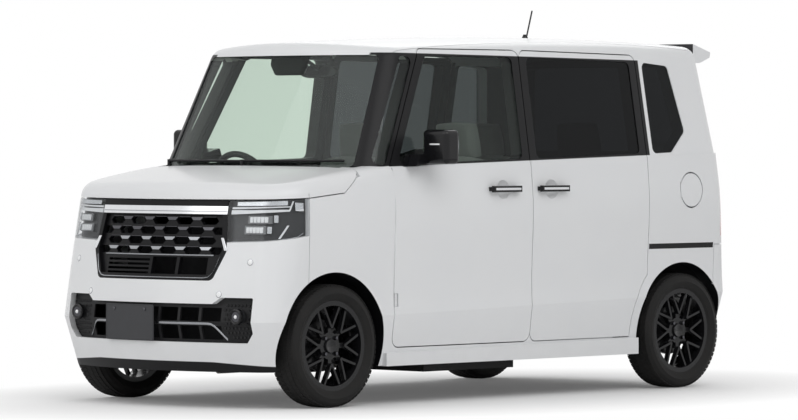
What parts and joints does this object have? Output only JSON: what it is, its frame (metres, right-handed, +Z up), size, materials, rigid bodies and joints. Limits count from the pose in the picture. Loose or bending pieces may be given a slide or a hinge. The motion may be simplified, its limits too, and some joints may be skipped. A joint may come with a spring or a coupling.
{
  "type": "kei car",
  "caption": "Tall boxy kei-class car with a hollow cabin, opening front doors, bonnet, tailgate and fuel flap, sliding rear doors, steered front wheels and wheels that roll.",
  "frame": {"origin": "on the ground under the centre of the body's length and width", "axes": "+X towards the nose, +Y to the car's left, +Z up"},
  "size_m": [3.3798, 1.804, 1.8542],
  "materials": {
    "paint": "gloss",
    "underbody": "satin",
    "glass": "gloss",
    "privacy_glass": "gloss",
    "black_trim": "gloss",
    "handle_trim": "gloss",
    "front_lamp": "gloss",
    "bright_trim": "gloss",
    "rear_lamp": "gloss",
    "interior": "matte",
    "seat_cloth": "matte",
    "pipe": "satin",
    "tank": "matte",
    "alloy": "gloss",
    "tyre": "matte"
  },
  "bodies": {
    "body": {"antenna": "black_trim", "cowl": "black_trim", "dashboard": "interior", "engine": "underbody", "exhaust": "pipe", "floor_pan": "underbody", "fog_lamps": "front_lamp", "front_bumper": "paint", "front_fenders": "paint", "front_grille": "black_trim", "front_seats": "seat_cloth", "front_subframe": "underbody", "fuel_tank": "tank", "grille_bar": "bright_trim", "headlamps": "front_lamp", "lamp_housings": "black_trim", "left_side_frame": "paint", "left_sliding_door": "paint", "lower_grille": "black_trim", "radiator": "underbody", "rear_axle": "underbody", "rear_bumper": "paint", "rear_seat": "seat_cloth", "right_side_frame": "paint", "right_sliding_door": "paint", "roof": "paint", "side_glass": "privacy_glass", "slide_rails": "black_trim", "sliding_door_handles": "handle_trim", "steering_wheel": "interior", "tail_lamps": "rear_lamp", "windscreen": "glass", "wipers": "black_trim"},
    "bonnet": {"bonnet": "paint"},
    "left_front_door": {"left_front_door": "paint", "left_front_glass": "glass", "left_mirror": "black_trim", "left_front_handle": "handle_trim"},
    "right_front_door": {"right_front_door": "paint", "right_front_glass": "glass", "right_mirror": "black_trim", "right_front_handle": "handle_trim"},
    "tailgate": {"tailgate": "paint", "tailgate_glass": "privacy_glass"},
    "fuel_flap": {"fuel_flap": "paint"},
    "left_knuckle": {"left_knuckle": "underbody"},
    "right_knuckle": {"right_knuckle": "underbody"},
    "front_left_wheel": {"front_left_rim": "alloy", "front_left_tyre": "tyre"},
    "front_right_wheel": {"front_right_rim": "alloy", "front_right_tyre": "tyre"},
    "rear_left_wheel": {"rear_left_rim": "alloy", "rear_left_tyre": "tyre"},
    "rear_right_wheel": {"rear_right_rim": "alloy", "rear_right_tyre": "tyre"}
  },
  "joints": [
    {"name": "bonnet_hinge", "type": "hinge", "parent": "body", "child": "bonnet", "pos_m": [1.034, 0, 1.075], "axis": [0, -1, 0], "range_deg": [0, 50]},
    {"name": "left_front_door_hinge", "type": "hinge", "parent": "body", "child": "left_front_door", "pos_m": [0.7835, 0.716, 0.67], "axis": [0, 0, -1], "range_deg": [0, 70]},
    {"name": "right_front_door_hinge", "type": "hinge", "parent": "body", "child": "right_front_door", "pos_m": [0.7835, -0.716, 0.67], "axis": [0, 0, 1], "range_deg": [0, 70]},
    {"name": "tailgate_hinge", "type": "hinge", "parent": "body", "child": "tailgate", "pos_m": [-1.5615, 0, 1.676], "axis": [0, 1, 0], "range_deg": [0, 80]},
    {"name": "fuel_flap_hinge", "type": "hinge", "parent": "body", "child": "fuel_flap", "pos_m": [-1.2545, 0.72457, 0.969], "axis": [0, 0, -1], "range_deg": [0, 90]},
    {"name": "left_steer", "type": "hinge", "parent": "body", "child": "left_knuckle", "pos_m": [1.1845, 0.575, 0.281], "axis": [0, 0, 1], "range_deg": [-35, 35]},
    {"name": "right_steer", "type": "hinge", "parent": "body", "child": "right_knuckle", "pos_m": [1.1845, -0.575, 0.281], "axis": [0, 0, 1], "range_deg": [-35, 35]},
    {"name": "front_left_spin", "type": "hinge", "parent": "left_knuckle", "child": "front_left_wheel", "pos_m": [1.1845, 0.643, 0.281], "axis": [0, 1, 0], "continuous": true},
    {"name": "front_right_spin", "type": "hinge", "parent": "right_knuckle", "child": "front_right_wheel", "pos_m": [1.1845, -0.643, 0.281], "axis": [0, 1, 0], "continuous": true},
    {"name": "rear_left_spin", "type": "hinge", "parent": "body", "child": "rear_left_wheel", "pos_m": [-1.2755, 0.643, 0.281], "axis": [0, 1, 0], "continuous": true},
    {"name": "rear_right_spin", "type": "hinge", "parent": "body", "child": "rear_right_wheel", "pos_m": [-1.2755, -0.643, 0.281], "axis": [0, 1, 0], "continuous": true}
  ],
  "couplings": [
    {"joint": "right_steer", "follows": "left_steer", "ratio": 1}
  ]
}
